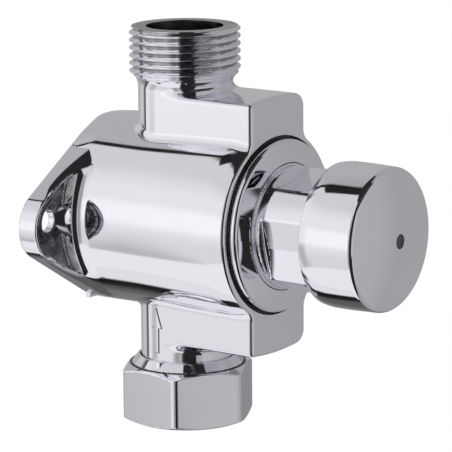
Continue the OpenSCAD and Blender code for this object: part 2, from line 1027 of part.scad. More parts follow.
// The return spring: one wire wound between the bush's flange and the button
function spring_angle(i) = i * 360 / spring_rings;
spring_steps = spring_turns * spring_rings;
spring_rise = spring_front - spring_back - spring_wire;
function spring_depth(i) = spring_back + spring_wire / 2 + spring_rise * i / spring_steps;
function spring_point(i, j) =
    let (
        turn = spring_angle(i),
        side = j * 360 / spring_sides,
        reach = spring_mean_r + spring_wire / 2 * cos(side)
    )
    [
        reach * cos(turn),
        -spring_depth(i) + spring_wire / 2 * sin(side),
        reach * sin(turn)
    ];

module return_spring() {
    points = [
        for (i = [0:spring_steps])
            for (j = [0:spring_sides - 1])
                spring_point(i, j)
    ];
    skin = [
        for (i = [0:spring_steps - 1])
            for (j = [0:spring_sides - 1])
                let (
                    next = (j + 1) % spring_sides,
                    a = i * spring_sides + j,
                    b = i * spring_sides + next,
                    c = a + spring_sides,
                    d = b + spring_sides
                )
                each [[a, b, d], [a, d, c]]
    ];
    last = spring_steps * spring_sides;
    back_cap = [for (j = [1:spring_sides - 2]) [0, j + 1, j]];
    front_cap = [for (j = [1:spring_sides - 2]) [last, last + j, last + j + 1]];
    color(steel)
        polyhedron(points = points, faces = concat(skin, back_cap, front_cap));
}

body();
locking_ring();
ring_gasket();
head_gasket();
cartridge_head();
spacer_cage();
valve_seat();
seat_oring();
timing_cylinder();
guide_bush();
rear_stem_seal();
front_stem_seal();
seal_retainer();
union_retaining_ring();
union_washer();
inlet_strainer();
union_nut();
push_button();
button_plug();
button_screw();
stem();
stem_circlip();
valve_disc();
disc_washer();
timing_piston();
piston_lip_seal();
piston_nut();
return_spring();
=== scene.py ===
import math

import bmesh
import bpy
import numpy as np
from mathutils import Matrix, Vector


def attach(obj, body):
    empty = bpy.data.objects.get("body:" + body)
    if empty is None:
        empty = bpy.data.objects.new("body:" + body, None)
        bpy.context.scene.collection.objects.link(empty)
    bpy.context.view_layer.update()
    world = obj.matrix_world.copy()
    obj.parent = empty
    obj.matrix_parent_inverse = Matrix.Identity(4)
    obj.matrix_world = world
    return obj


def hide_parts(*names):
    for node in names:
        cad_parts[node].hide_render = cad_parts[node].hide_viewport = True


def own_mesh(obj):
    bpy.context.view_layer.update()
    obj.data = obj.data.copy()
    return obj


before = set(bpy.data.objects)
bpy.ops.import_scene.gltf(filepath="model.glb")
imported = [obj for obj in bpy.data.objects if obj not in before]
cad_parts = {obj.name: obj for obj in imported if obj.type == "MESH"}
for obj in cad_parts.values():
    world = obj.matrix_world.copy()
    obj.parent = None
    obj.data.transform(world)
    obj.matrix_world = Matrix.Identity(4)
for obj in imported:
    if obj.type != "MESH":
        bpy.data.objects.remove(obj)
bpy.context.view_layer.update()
MM = 0.001

# Camera, fitted to the photograph: its place in metres, its axes, and its lens in millimetres
CAMERA_AT = Vector((-0.555267, -0.434266, 0.139330))
RIGHT = Vector((0.582894, -0.812518, -0.006996))
UP = Vector((0.168340, 0.112333, 0.979307))
FORWARD = Vector((0.794919, 0.572010, -0.202257))
LENS, SENSOR = 234.79, 36.0


def make_camera():
    data = bpy.data.cameras.new("camera")
    data.sensor_fit = "HORIZONTAL"
    data.sensor_width = SENSOR
    data.lens = LENS
    data.clip_start = 0.05
    data.clip_end = 50.0
    cam = bpy.data.objects.new("camera", data)
    bpy.context.scene.collection.objects.link(cam)
    rot = Matrix((RIGHT, UP, -FORWARD)).transposed().to_4x4()
    cam.matrix_world = Matrix.Translation(CAMERA_AT) @ rot
    bpy.context.scene.camera = cam


make_camera()

# Sizes in millimetres, as in the part's source; depths count from the wall to the front
FIT = 0.05
BARREL_R, FRONT, BACK_WALL, PIPE_D, PIPE_R = 22.9, 50.0, 4.0, 23.1, 11.2
BLOCK_W, CROWN, ARCH_R, CORNER_R = 22.0, 30.6, 76.0, 3.0
HUB_R, EAR_R, HOLE_X, FLANGE_T = 22.3, 8.5, 26.5, 5.2
POCKET_FLOOR = FLANGE_T - 1.3
LUG_X, LUG_Z, LUG_HALF_W, LUG_HALF_H, LUG_T = -7.3, -19.7, 3.0, 2.0, 1.5

# Outlet, above, and inlet tail, below
OUT_TOP, THREAD_R, PITCH, THREAD_LEN = 45.15, 13.22, 1.814, 10.3
THREAD_FOOT = OUT_TOP - THREAD_LEN - (THREAD_R - PIPE_R)
OUT_BORE_R, OUT_FLOOR, IN_BORE_R = 9.2, 15.4, 6.2
TAIL_END, STRAINER_R, STRAINER_DEEP = 41.2, 8.0, 2.4

# Union nut, and the wire that holds it on the tail
NUT_TOP, NUT_LEN, NUT_FLAT, NUT_TURN, NUT_LAND, NUT_BORE = 36.3, 13.9, 14.4, 24.9, 13.7, 12.06
NUT_CHAMFER, NUT_CONE_R, NUT_CONE_H, NUT_COLLAR_R, NUT_COLLAR_H = 1.25, 13.5, 2.1, 11.5, 2.5
NUT_ROOT, NUT_MOUTH = 1.16, 0.8
UNION_WIRE, NUT_CLEAR = 1.3, 0.3
WIRE_Z = -(NUT_TOP + NUT_COLLAR_H + UNION_WIRE / 2 + NUT_CLEAR)
WIRE_HALF_W, WIRE_DEEP = UNION_WIRE / 2 + FIT, 0.55 * UNION_WIRE

# Cartridge head, and the chambers behind it as radius and back
HEAD_R, HEAD_END, HEAD_TURN, HEAD_FLAT, HEAD_HOLLOW_R = 14.5, 70.0, 12.0, 12.7, 10.5
HEAD_LAND_R, HEAD_LAND_END = 14.9, FRONT + 2.8
FLAT_BACK = HEAD_LAND_END + 1.6
HEAD_THREAD_R, HEAD_THREAD_BACK, HEAD_THREAD_END = 15.85, FRONT - 8.0, FRONT - FIT
HEAD_BACK = HEAD_THREAD_BACK + 1.0
HEAD_BORES = ((6.5, 40.0, 47.0), (3.04, 44.0, 50.0), (6.0, 47.9, 52.0))
CHAMBER_LEN, SEAT_T = 7.5, 5.0
SEAT_FRONT = HEAD_THREAD_BACK - CHAMBER_LEN
CHAMBERS = ((HEAD_THREAD_R + FIT, HEAD_THREAD_BACK), (13.5, SEAT_FRONT), (12.0, SEAT_FRONT - SEAT_T),
            (10.9, BACK_WALL))
PORT_D, PORT_R = HEAD_THREAD_BACK - CHAMBER_LEN / 2, 3.2
CHANNEL_Z, CHANNEL_R, CHANNEL_END = 20.5, 3.8, HEAD_THREAD_BACK - FIT

# Locking ring, and the grooves in the front face for its gasket and round it
RING_R, RING_HOLE_R, RING_EDGE = 20.4, 15.0, FRONT + 1.8
RING_FALL = RING_R - RING_HOLE_R
GASKET_R, GASKET_HALF_W, GROOVE_FLOOR = 17.975, 1.225, FRONT - 0.8
GROOVE_R, GROOVE_HALF_W = 20.68, 0.4

# Button with its plug, and return spring
BUTTON_R, BUTTON_RIM, DOME, SHOULDER_R, BUTTON_BORE_R = 17.05, 80.9, 2.7, 14.6, 14.95
SHOULDER, BUTTON_REAR, BUTTON_ROOF = BUTTON_RIM - 10.7, BUTTON_RIM - 14.3, BUTTON_RIM - 2.9
BOSS_R, BOSS_BACK, SOCKET_R, SOCKET_BACK, SOCKET_ROOF = 5.5, 71.0, 3.05, 70.0, 77.45
SCREW_R, SCREW_BACK, SCREW_END = 1.3, 76.0, 80.4
PLUG_R, PLUG_SEAT, PLUG_BACK, PLUG_FACE = 1.7, 79.4, 81.0, 83.4
SPRING_R, SPRING_WIRE, SPRING_TURNS = 8.4, 0.7, 8
SPRING_BACK, SPRING_FRONT = 51.25, BUTTON_ROOF - FIT

# Sizes of the finer forms that the photograph shows
BLOCK_NEAR, THREAD_DEEP, THREAD_START, THREAD_END = 11.19, 1.0, 0.35, 0.6
SWEEP_R, POCKET_R, POCKET_RIM, HOLE_R, COUNTERSINK_R, SINK_END = 5.3, 23.75, 1.15, 2.5, 4.5, 6.5
FLANGE_DROP, FLANGE_LEAN, FLANGE_FLARE, FLANGE_BACKED = 0.5, 0.012, 0.13, 0.6
WAIST, SWELL, RIM_CROWN, BUTTON_CROWN, BUTTON_INSET, FLAT_BREAK = 0.8, 0.15, 0.016, 0.0023, 0.35, 5.0
ARROW_TURN, ARROW_FOOT, ARROW_LEN, ARROW_HEAD = 4.5, -32.2, 10.5, 4.5
ARROW_HALF_W, ARROW_SHAFT, ARROW_RELIEF = 1.45, 0.6, 0.25

# The scale from a slope of 1 in 1 to a distance, and a depth past which cuts end in the open
DIAGONAL, OPEN = 0.7071, 60.0


# Distance fields: each shape is a function of x, y, z that is negative inside
def fillet(a, b, r):
    """Union with a round fillet of radius r."""
    u = np.maximum(r - a, 0)
    v = np.maximum(r - b, 0)
    return np.maximum(r, np.minimum(a, b)) - np.sqrt(u * u + v * v)


def both(a, b, r):
    """Intersection with an edge rounded to radius r."""
    u = np.maximum(r + a, 0)
    v = np.maximum(r + b, 0)
    return np.minimum(-r, np.maximum(a, b)) + np.sqrt(u * u + v * v)


def tube(radial, low, high):
    """A plain stretch between two planes, for bores."""
    return np.maximum(radial, np.maximum(low, high))


def smooth(t, a, b):
    """Rises from 0 at a to 1 at b."""
    s = np.clip((t - a) / (b - a), 0, 1)
    return s * s * (3 - 2 * s)


def flange_outline(x, z, inset):
    """The hub and the two ears, joined by straight sides."""
    r1, r2 = HUB_R - inset, EAR_R - inset
    ax, az = np.abs(x), np.abs(z)
    b = (r1 - r2) / HOLE_X
    a = math.sqrt(1 - b * b)
    k = a * ax - b * az
    d = np.where(k < 0, np.hypot(ax, az) - r1, b * ax + a * az - r1)
    return np.where(k > a * HOLE_X, np.hypot(ax - HOLE_X, az) - r2, d)


def sunk(x, z):
    """Height against the flange's own middle, which lies a little low and turned."""
    return z + FLANGE_DROP - FLANGE_LEAN * x


def flow_arrow(x, y, z):
    """The raised arrow on the tail, with sloping sides, turned a little towards the wall."""
    overlap, steep, side_slope, root = 0.2, 0.952, 0.8, 0.3
    rp = np.hypot(x, y + PIPE_D)
    turn = math.radians(ARROW_TURN)
    across = np.abs(x * math.sin(turn) + (y + PIPE_D) * math.cos(turn))
    h = z - ARROW_FOOT
    neck = ARROW_LEN - ARROW_HEAD
    shaft = tube(across - ARROW_SHAFT, -h, h - neck - overlap)
    head = np.maximum(neck - h, steep * (across - ARROW_HALF_W * (ARROW_LEN - h) / ARROW_HEAD))
    top = rp - PIPE_R - ARROW_RELIEF
    raised = both(np.minimum(shaft, head) + side_slope * top, top, r=0.06)
    return np.maximum(raised, PIPE_R - root - rp)


def barrel_reach(x, d):
    """Radius of the barrel, which polishing has left narrower at the flange and rounded at the rim."""
    waist = WAIST * smooth(-d, -45.0, -5.0) * smooth(np.abs(x), 4.0, 12.0)
    swell = SWELL * smooth(-d, -20.0, 0.0)
    return BARREL_R - waist + swell - RIM_CROWN * np.clip(d - 44.0, 0, 5) ** 2


def flange(x, z, d, rho):
    """The wall flange: it sweeps up to the barrel, and each ear has a pocket and a countersunk hole."""
    own_z = sunk(x, z)
    plate = fillet(rho - barrel_reach(x, d), d - FLANGE_T, r=SWEEP_R)
    edge = 0.5 + 1.6 * smooth(-np.abs(x), -31.5, -27.0)
    f = both(flange_outline(x, own_z, 0.0), plate, r=edge)
    pocket = both(flange_outline(x, own_z, POCKET_RIM), POCKET_R - rho, r=0.9)
    f = both(f, -both(pocket, POCKET_FLOOR - d, r=0.3), r=0.3)
    rh = np.hypot(np.abs(x) - HOLE_X, z)
    f = both(f, HOLE_R - rh, r=0.15)
    sink = np.maximum((rh - COUNTERSINK_R) + (POCKET_FLOOR - d), d - SINK_END)
    f = both(f, -sink * DIAGONAL, r=0.2)
    return np.maximum(f, d - FLANGE_T - SWEEP_R - 1.0)


def barrel(x, z, d, rho):
    """The round barrel, which stays inside the flange's outline where it leaves the wall."""
    sides = flange_outline(x, sunk(x, z), 0.0) - FLANGE_FLARE * d
    sides = sides - FLANGE_BACKED * smooth(-np.abs(x), -9.0, -3.0)
    return both(rho - barrel_reach(x, d), sides, r=0.4)


def block(x, z, d, rp):
    """The flat-sided block between the pipe and the front face, above and below the barrel."""
    arch = np.hypot(x, np.abs(z) + (ARCH_R - CROWN)) - ARCH_R
    top = fillet(rp - PIPE_R, arch, r=2.2)
    near = both(-x - BLOCK_NEAR, top, r=0.8)
    far = both(x - BLOCK_W / 2, top, r=CORNER_R)
    return np.maximum(np.maximum(near, far), np.maximum(PIPE_D - d, np.abs(z) - CROWN - 5))


def upright(rp, z):
    """The upright pipe, with the core of the outlet's thread above and the wire's groove below."""
    under = (rp - (PIPE_R + (z - THREAD_FOOT))) * DIAGONAL
    core = both(rp - (THREAD_R - THREAD_DEEP - 0.02), z - (OUT_TOP - 0.3), r=0.3)
    core = both(core, under, r=0.3)
    pipe = fillet(both(rp - PIPE_R, z - 40.0, r=0.2), core, r=1.3)
    pipe = both(pipe, -TAIL_END - z, r=0.3)
    return np.maximum(pipe, -np.maximum(np.abs(z - WIRE_Z) - WIRE_HALF_W, PIPE_R - WIRE_DEEP - rp))


def hollowed(f, x, z, d, rho, rp):
    """The body less its bores, chambers, the grooves in its front face, and the way to the outlet."""
    f = both(f, -np.maximum(rp - OUT_BORE_R, OUT_FLOOR - z), r=0.3)
    f = np.maximum(f, -np.maximum(rp - IN_BORE_R, z))
    f = both(f, -np.maximum(rp - STRAINER_R, z + TAIL_END - STRAINER_DEEP), r=0.1)
    for radius, back in CHAMBERS:
        f = np.maximum(f, np.minimum(radius - rho, d - back))
    f = np.maximum(f, -tube(np.abs(rho - GASKET_R) - GASKET_HALF_W, GROOVE_FLOOR - d, d - OPEN))
    f = both(f, -tube(np.abs(rho - GROOVE_R) - GROOVE_HALF_W, GROOVE_FLOOR - d, d - OPEN), r=0.25)
    port = tube(np.hypot(x, d - PORT_D) - PORT_R, -z, z - CHANNEL_Z)
    channel = tube(np.hypot(x, z - CHANNEL_Z) - CHANNEL_R, PIPE_D - d, d - CHANNEL_END)
    return np.maximum(np.maximum(f, -port), -channel)


def casting(x, y, z):
    """The body, in one casting."""
    d = -y
    rho = np.hypot(x, z)
    rp = np.hypot(x, y + PIPE_D)
    f = np.minimum(upright(rp, z), block(x, z, d, rp))
    f = fillet(f, barrel(x, z, d, rho), r=1.3)
    f = both(f, d - FRONT, r=1.2)
    join = 0.02 + 0.4 * smooth(rho, BARREL_R + 0.8, BARREL_R + 2.0)
    f = fillet(f, flange(x, z, d, rho), r=join)
    lug = np.maximum(np.abs(x - LUG_X) - LUG_HALF_W, np.abs(z - LUG_Z) - LUG_HALF_H)
    f = np.minimum(f, tube(lug, d - LUG_T, -d))
    return hollowed(both(f, -d, r=0.2), x, z, d, rho, rp)


def thread_reach(z, turn, start, crest_r, deep, pitch):
    """Radius of a helical thread with rounded crests and roots."""
    t = (z - start) / pitch - turn / math.tau
    t = np.abs(t - np.round(t))
    ease = 0.18
    low = t * t / (2 * ease)
    high = (0.5 - ease) - (0.5 - t) ** 2 / (2 * ease)
    wave = np.where(t < ease, low, np.where(t > 0.5 - ease, high, t - ease / 2))
    return crest_r - deep * wave / (0.5 - ease)


def locking_ring(r, d):
    steep = 0.9835
    slope = (d - RING_EDGE + (r - RING_R) / RING_FALL) * steep
    f = both(r - RING_R, slope, r=0.9)
    f = both(f, RING_HOLE_R - r, r=0.5)
    return both(f, FRONT - d, r=0.15)


def button(r, d):
    """The domed button, with the boss inside it that holds the stem and the screw."""
    rise_r = BUTTON_R - BUTTON_INSET
    dome_r = (rise_r ** 2 + DOME ** 2) / (2 * DOME)
    dome = np.hypot(r, d - (BUTTON_RIM + DOME - dome_r)) - dome_r
    inner = BUTTON_R - SHOULDER_R
    arc = np.hypot(r - inner, d - SHOULDER) - SHOULDER_R
    side = r - BUTTON_R + BUTTON_CROWN * np.clip(d - SHOULDER, 0, 12) ** 2
    f = both(np.where((d < SHOULDER) & (r > inner), arc, side), dome, r=0.95)
    f = both(f, BUTTON_REAR - d, r=0.2)
    bore = tube(r - BUTTON_BORE_R, BUTTON_REAR - 2 - d, d - BUTTON_ROOF)
    bore = np.maximum(bore, -np.maximum(r - BOSS_R, BOSS_BACK - d))
    f = both(f, -bore, r=0.2)
    f = np.maximum(f, -tube(r - SOCKET_R, SOCKET_BACK - d, d - SOCKET_ROOF))
    f = np.maximum(f, -tube(r - SCREW_R, SCREW_BACK - d, d - SCREW_END))
    return both(f, -np.maximum(r - PLUG_R, PLUG_SEAT - d), r=0.15)


def plug(r, d):
    return both(np.maximum(r - (PLUG_R - FIT), PLUG_BACK - d), d - PLUG_FACE, r=0.2)


def head(x, y, z):
    """The cartridge's head: a neck with wrench flats, each broken at its middle."""
    d = -y
    rho = np.hypot(x, z)
    c, s = math.cos(math.radians(HEAD_TURN)), math.sin(math.radians(HEAD_TURN))
    u, v = x * c + z * s, z * c - x * s
    land = both(rho - HEAD_LAND_R, d - HEAD_LAND_END, r=0.3)
    neck = both(rho - HEAD_R, d - HEAD_END, r=0.3)
    lean = math.radians(FLAT_BREAK)
    lower = (np.abs(u) - HEAD_FLAT) * math.cos(lean) + np.where(u < 0, -v, v) * math.sin(lean)
    flats = both(np.maximum(np.abs(u) - HEAD_FLAT, lower), np.abs(v) - HEAD_FLAT, r=0.2)
    neck = both(neck, fillet(flats, d - FLAT_BACK, r=0.35), r=0.2)
    f = np.minimum(land, neck)
    f = np.minimum(f, both(rho - HEAD_THREAD_R, d - HEAD_THREAD_END, r=0.3))
    f = both(f, HEAD_BACK - d, r=0.3)
    f = both(f, -np.maximum(rho - HEAD_HOLLOW_R, FRONT - d), r=0.3)
    for radius, back, front in HEAD_BORES:
        f = both(f, -tube(rho - radius, back - d, d - front), r=0.15)
    return f


def nut(x, y, z):
    """The hexagon nut, chamfered at both ends, with a cone on top and a collar inside it."""
    cone_slope, cone_steep = 0.762, 0.795
    yp = y + PIPE_D
    rp = np.hypot(x, yp)
    sixth = math.pi / 3
    a = np.mod(np.arctan2(yp, x) - math.radians(NUT_TURN), sixth)
    f = rp * np.cos(a - sixth / 2) - NUT_FLAT
    for turn in (-1, 1):
        f = both(f, rp * np.cos(a - sixth / 2 + turn * sixth) - NUT_FLAT, r=0.9)
    bottom = -NUT_TOP - NUT_LEN
    slope = NUT_CHAMFER / (NUT_FLAT / math.cos(sixth / 2) - NUT_LAND)
    steep = math.sqrt(1 + slope * slope)
    f = both(f, (z + NUT_TOP + (rp - NUT_LAND) * slope) / steep, r=0.25)
    f = both(f, (bottom - z + (rp - NUT_LAND) * slope) / steep, r=0.25)
    f = both(f, z + NUT_TOP, r=0.15)
    f = both(f, bottom - z, r=0.15)
    cone = (rp - NUT_CONE_R + (z + NUT_TOP) * cone_slope) * cone_steep
    cone = both(cone, z + NUT_TOP - NUT_CONE_H, r=0.2)
    f = np.minimum(f, np.maximum(cone, -NUT_TOP - 0.5 - z))
    f = both(f, NUT_COLLAR_R - rp, r=0.15)
    hole = np.maximum(rp - NUT_BORE - NUT_ROOT, z + NUT_TOP + NUT_COLLAR_H)
    f = both(f, -hole, r=0.15)
    return both(f, (NUT_BORE + NUT_MOUTH - rp - (z - bottom)) * DIAGONAL, r=0.15)


# Meshing of the fields
def slopes(field, p, step=0.02):
    """Unit gradients of a field at the points p, their size, and the field there."""
    g = np.empty_like(p)
    here = field(*p.T)
    for axis in range(p.shape[1]):
        q = p.copy()
        q[:, axis] += step
        g[:, axis] = field(*q.T) - here
    size = np.linalg.norm(g, axis=1, keepdims=True)
    return g / np.maximum(size, 1e-9), size[:, 0] / step, here


def settle(field, p, h, rounds=2):
    """Moves points onto the field's surface."""
    for _ in range(rounds):
        g, steep, here = slopes(field, p)
        move = np.clip(here / np.maximum(steep, 0.5), -0.5 * h, 0.5 * h)
        p = p - g * move[:, None]
    return p


# A cell's corners and edges, the cells along a chunk, and the chunks worked on at once
CORNERS = np.array([(i, j, k) for i in (0, 1) for j in (0, 1) for k in (0, 1)])
EDGES = [(a, b) for a in range(8) for b in range(8) if a < b and np.abs(CORNERS[a] - CORNERS[b]).sum() == 1]
CHUNK, BATCH = 8, 1500


def surface(field, low, high, h):
    """Points and four-sided faces on a field's surface, as dual cells of size h."""
    low, high = np.array(low, float), np.array(high, float)
    size = CHUNK * h
    count = np.ceil((high - low) / size).astype(int) + 1
    chunks = np.stack(np.meshgrid(*(np.arange(c) for c in count), indexing="ij"), -1).reshape(-1, 3)
    centre = low + (chunks + 0.5) * size
    margin = 1.1
    chunks = chunks[np.abs(field(*centre.T)) < size * margin]
    span = count * CHUNK + 2
    grid = np.stack(np.meshgrid(*(np.arange(CHUNK + 1),) * 3, indexing="ij"), -1)
    cells, spots, quads = [], [], []
    for part in np.array_split(chunks, max(1, len(chunks) // BATCH)):
        at = part[:, None, None, None, :] * CHUNK + grid
        value = field(*(low + at.reshape(-1, 3) * h).T).reshape(at.shape[:-1])
        inside = value < 0
        corner = [tuple(slice(c, c + CHUNK) for c in spot) for spot in CORNERS]
        total = sum(inside[(slice(None), *c)].astype(np.int8) for c in corner)
        b, i, j, k = np.nonzero((total > 0) & (total < 8))
        base = part[b] * CHUNK + np.stack((i, j, k), -1)
        held = np.stack([value[b, i + c[0], j + c[1], k + c[2]] for c in CORNERS])
        place = np.zeros((len(b), 3))
        hits = np.zeros(len(b))
        for s, e in EDGES:
            cross = (held[s] < 0) != (held[e] < 0)
            t = np.where(cross, held[s] / np.where(cross, held[s] - held[e], 1), 0)
            spot = CORNERS[s] + t[:, None] * (CORNERS[e] - CORNERS[s])
            place += spot * cross[:, None]
            hits += cross
        cells.append((base[:, 0] * span[1] + base[:, 1]) * span[2] + base[:, 2])
        spots.append(low + (base + place / hits[:, None]) * h)
        for axis in range(3):
            near = [slice(None)] + [slice(0, CHUNK)] * 3
            far = list(near)
            far[axis + 1] = slice(1, CHUNK + 1)
            start, end = inside[tuple(near)], inside[tuple(far)]
            b, i, j, k = np.nonzero(start != end)
            base = part[b] * CHUNK + np.stack((i, j, k), -1)
            one, two = np.eye(3, dtype=int)[(axis + 1) % 3], np.eye(3, dtype=int)[(axis + 2) % 3]
            ring = np.stack((base - one - two, base - two, base, base - one), 1)
            flip = ~start[b, i, j, k]
            ring[flip] = ring[flip][:, ::-1]
            quads.append((ring[..., 0] * span[1] + ring[..., 1]) * span[2] + ring[..., 2])
    key = np.concatenate(cells)
    order = np.argsort(key)
    key, p = key[order], np.concatenate(spots)[order]
    wanted = np.concatenate(quads)
    faces = np.searchsorted(key, wanted)
    faces = np.minimum(faces, len(key) - 1)
    whole = (key[faces] == wanted).all(1)
    return settle(field, p, h), faces[whole]


def contour(field, low, high, h):
    """The closed outlines of a field of radius and depth, in order, thinned where straight."""
    ni, nj = (int(math.ceil((b - a) / h)) + 2 for a, b in zip(low, high))
    r, d = np.meshgrid(low[0] + np.arange(ni) * h, low[1] + np.arange(nj) * h, indexing="ij")
    value = field(r, d)
    inside = value < 0
    pairs = [((i, j - 1), (i, j)) for i, j in zip(*np.nonzero(inside[:-1] != inside[1:])) if 0 < j]
    pairs += [((i - 1, j), (i, j)) for i, j in zip(*np.nonzero(inside[:, :-1] != inside[:, 1:])) if 0 < i]
    links = {}
    for a, b in pairs:
        links.setdefault(a, []).append(b)
        links.setdefault(b, []).append(a)
    start = min(links, key=lambda cell: (len(links[cell]), cell))
    chain, last = [start], None
    while True:
        onward = [c for c in links[chain[-1]] if c != last]
        if not onward or onward[0] == start:
            break
        last = chain[-1]
        chain.append(onward[0])
    closed = len(links[start]) > 1
    p = np.array([(low[0] + (i + 0.5) * h, low[1] + (j + 0.5) * h) for i, j in chain])
    p = settle(field, p, h, 6)
    n = slopes(field, p)[0]
    most_turn, most_length = math.radians(4), 4
    keep = [0]
    for i in range(1, len(p) - 1):
        turned_far = (n[i + 1] * n[keep[-1]]).sum() < math.cos(most_turn)
        if turned_far or np.linalg.norm(p[i + 1] - p[keep[-1]]) > most_length:
            keep.append(i)
    keep.append(len(p) - 1)
    return p[keep], n[keep], closed


def woven(rows, sides, closed=True):
    """Four-sided faces between rows of points that run round; closed joins the last row to the first."""
    i = np.arange(rows if closed else rows - 1)[:, None]
    j = np.arange(sides)[None, :]
    k, m = (i + 1) % rows, (j + 1) % sides
    corners = (i * sides + j, i * sides + m, k * sides + m, k * sides + j)
    return np.stack(np.broadcast_arrays(*corners), -1).reshape(-1, 4)


def turned(field, low, high, h=0.04, sides=192):
    """A solid of revolution about the tap's axis, from a field of radius and depth."""
    p, n, closed = contour(field, low, high, h)
    angle = np.arange(sides) * math.tau / sides
    c, s = np.cos(angle), np.sin(angle)
    points = np.stack([np.stack((r * c, np.full(sides, -d), r * s), -1) for r, d in p])
    normals = np.stack([np.stack((a * c, np.full(sides, -b), a * s), -1) for a, b in n])
    faces = woven(len(p), sides, closed)
    points, normals = points.reshape(-1, 3), normals.reshape(-1, 3)
    a, b, c = (points[faces[:, q]] for q in (0, 1, 2))
    if (np.cross(b - a, c - a) * normals[faces[:, 0]]).sum() < 0:
        faces = faces[:, ::-1]
    return points, faces, normals


def solid(field, low, high, h):
    """A solid meshed from a field of x, y, z."""
    p, faces = surface(field, low, high, h)
    return p, faces, slopes(field, p)[0]


# Threads and spring, as rows of points
def hoop(radius, height, angle):
    """A ring of points round the upright pipe."""
    x, y = radius * np.cos(angle), radius * np.sin(angle) - PIPE_D
    return np.stack((x, y, np.full(angle.shape, height)), -1)


def thread_skin(reach, z, angle):
    """Points and outward normals of a skin round the upright pipe; reach gives its radius."""
    nudge = 0.01
    z, a = z[:, None], angle[None, :]
    r = reach(z, a)
    dz = (reach(z + nudge, a) - reach(z - nudge, a)) / (2 * nudge)
    da = (reach(z, a + nudge) - reach(z, a - nudge)) / (2 * nudge) / r
    normal = np.stack((np.cos(a) + da * np.sin(a), np.sin(a) - da * np.cos(a), -dz), -1)
    normal /= np.linalg.norm(normal, axis=-1, keepdims=True)
    points = np.stack((r * np.cos(a), r * np.sin(a) - PIPE_D, np.broadcast_to(z, r.shape)), -1)
    return points, normal


def outlet_thread():
    """The helical skin of the outlet's thread, with its end face and underside."""
    sides, rows, edge = 320, 170, 0.15
    low, high = OUT_TOP - THREAD_LEN - 2.4, OUT_TOP
    inner = OUT_BORE_R - 0.01
    angle = np.arange(sides) * math.tau / sides

    def reach(z, turn):
        r = thread_reach(z, turn, OUT_TOP - THREAD_START, THREAD_R, THREAD_DEEP, PITCH)
        end = THREAD_R - (z - (OUT_TOP - THREAD_END))
        under = PIPE_R + 0.35 + (z - THREAD_FOOT)
        return np.minimum(np.minimum(r, end), np.maximum(under, PIPE_R - 0.6))

    side, way = thread_skin(reach, np.linspace(low, high, rows), angle)
    rings, ways = [side], [way]
    up = np.broadcast_to((0.0, 0.0, 1.0), (sides, 3))
    out = np.stack((np.cos(angle), np.sin(angle), np.zeros(sides)), -1)
    rings.append(hoop(reach(high, angle), high, angle)[None])
    ways.append(up[None])
    for t in np.linspace(math.pi / 2, 0, 5):
        rings.append(hoop(inner + edge * (1 - math.cos(t)), high - edge * (1 - math.sin(t)), angle)[None])
        ways.append((-out * math.cos(t) + up * math.sin(t))[None])
    rings.append(hoop(inner, low, angle)[None])
    ways.append(-out[None])
    points, normals = np.concatenate(rings).reshape(-1, 3), np.concatenate(ways).reshape(-1, 3)
    return points, woven(len(points) // sides, sides), normals


def nut_thread():
    """The helical skin inside the union nut, from its mouth to the washer."""
    sides, rows = 256, 110
    low, high = -NUT_TOP - NUT_LEN + 0.5, -TAIL_END - 1.8
    crest_r = NUT_BORE + THREAD_DEEP
    angle = np.arange(sides) * math.tau / sides

    def reach(z, turn):
        r = NUT_BORE + crest_r - thread_reach(z, turn, low, crest_r, THREAD_DEEP, PITCH)
        return np.maximum(r, NUT_BORE + NUT_MOUTH - (z + NUT_TOP + NUT_LEN))

    side, way = thread_skin(reach, np.linspace(low, high, rows), angle)
    out = np.stack((np.cos(angle), np.sin(angle), np.zeros(sides)), -1)
    rings, ways = [side], [-way]
    for height in (high, low):
        rings.append(hoop(crest_r + 0.05, height, angle)[None])
        ways.append(out[None])
    points, normals = np.concatenate(rings).reshape(-1, 3), np.concatenate(ways).reshape(-1, 3)
    return points, woven(len(points) // sides, sides)[:, [0, 3, 2, 1]], normals


def coil():
    """The return spring: one round wire, with closed turns at both ends."""
    steps, sides = 64, 14
    closed, closed_rise = 0.09, 0.25
    total = SPRING_TURNS * steps
    back, front = SPRING_BACK + SPRING_WIRE, SPRING_FRONT - SPRING_WIRE
    t = np.arange(total + 1) / total
    rise = np.where(t < closed, t * closed_rise, np.where(t > 1 - closed, 1 - (1 - t) * closed_rise, 0))
    middle = (t - closed) / (1 - 2 * closed)
    between = closed * closed_rise + middle * (1 - 2 * closed * closed_rise)
    rise = np.where((t >= closed) & (t <= 1 - closed), between, rise)
    angle = t * SPRING_TURNS * math.tau
    c, s = np.cos(angle)[:, None], np.sin(angle)[:, None]
    depth = (back + (front - back) * rise)[:, None]
    side = np.arange(sides)[None, :] * math.tau / sides
    lift = np.broadcast_to(np.sin(side), (total + 1, sides))
    radius = SPRING_R + SPRING_WIRE * np.cos(side)
    points = np.stack((radius * c, SPRING_WIRE * lift - depth, radius * s), -1)
    normals = np.stack((np.cos(side) * c, lift, np.cos(side) * s), -1)
    caps = [list(range(sides))[::-1], [total * sides + q for q in range(sides)]]
    return points.reshape(-1, 3), woven(total + 1, sides, closed=False), normals.reshape(-1, 3), caps


# Tests, on the middles of the faces, for those that get another finish; most of these finishes paint shade
# into the pockets, the bore, the groove, the thread roots and creases
WALL_FOOT, WALL_TOP, WALL_NEAR = 4.5, 6.8, 0.15


def within(value, low, high):
    return (value > low) & (value < high)


def in_pocket(x, z):
    """Whether a point lies inside the rim of a pocket of the flange."""
    rim = POCKET_RIM + 0.15
    return flange_outline(x, sunk(x, z), rim) < 0
